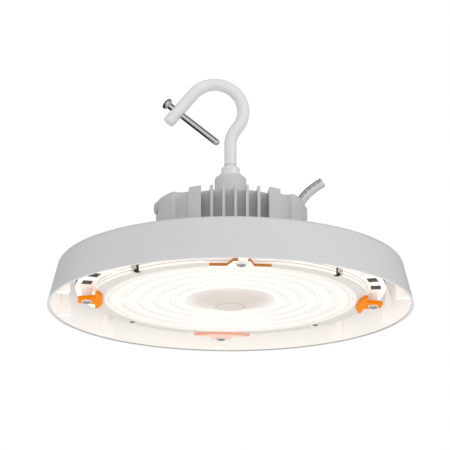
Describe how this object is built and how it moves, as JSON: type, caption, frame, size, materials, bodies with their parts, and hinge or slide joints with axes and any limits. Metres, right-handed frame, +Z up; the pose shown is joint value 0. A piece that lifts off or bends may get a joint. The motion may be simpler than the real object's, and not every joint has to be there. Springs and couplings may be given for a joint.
{
  "type": "high bay light",
  "caption": "Round ceiling-hung high bay light: shade with a ringed LED lens below, finned driver housing above, hanging hook with keeper screw, and a short power cord.",
  "frame": {"origin": "centre of the shade's rim plane, the lowest plane of the light", "axes": "+Z up through the hook, -Y the front, the hook opens towards -X"},
  "size_m": [0.33, 0.33, 0.2202],
  "materials": {
    "shade_plastic": "moulded, satin",
    "sink_paint": "die-cast, white powder coat",
    "post_metal": "turned, plain",
    "housing_paint": "die-cast, powder coat, satin",
    "zinc_screws": "zinc plated",
    "driver_case": "mill finish",
    "silicone": "matt silicone",
    "seal_rubber": "matt rubber",
    "dark_screws": "dark plated",
    "hook_paint": "white powder coat",
    "keeper_plating": "bright plated",
    "gland_plastic": "moulded",
    "cord_jacket": "satin jacket",
    "white_plastic": "moulded, white",
    "lens_plastic": "moulded, frosted, lit from behind",
    "board_white": "white solder mask",
    "led_phosphor": "phosphor",
    "sensor_plastic": "moulded, translucent",
    "clip_orange": "moulded, orange"
  },
  "bodies": {
    "root": {"shade": "shade_plastic", "heat_sink": "sink_paint", "clip_posts": "sink_paint", "shade_posts": "post_metal", "driver_housing": "housing_paint", "housing_screws": "zinc_screws", "driver_lid": "housing_paint", "led_driver": "driver_case", "lid_gasket": "silicone", "lens_gasket": "silicone", "gland_seal": "seal_rubber", "lid_screws": "zinc_screws", "shade_screws": "zinc_screws", "clip_screws": "zinc_screws", "board_screws": "zinc_screws", "accessory_screws": "dark_screws", "hook": "hook_paint", "hook_washer": "hook_paint", "hook_nut": "hook_paint", "keeper_screw": "keeper_plating", "gland_body": "gland_plastic", "gland_nut": "gland_plastic", "power_cord": "cord_jacket", "breather_plug": "gland_plastic", "lens_frame": "white_plastic", "lens": "lens_plastic", "led_board": "board_white", "leds": "led_phosphor", "sensor_socket": "white_plastic", "sensor_cover": "sensor_plastic", "clip_right": "clip_orange", "clip_back": "clip_orange", "clip_left": "clip_orange", "clip_front": "clip_orange"}
  },
  "joints": []
}
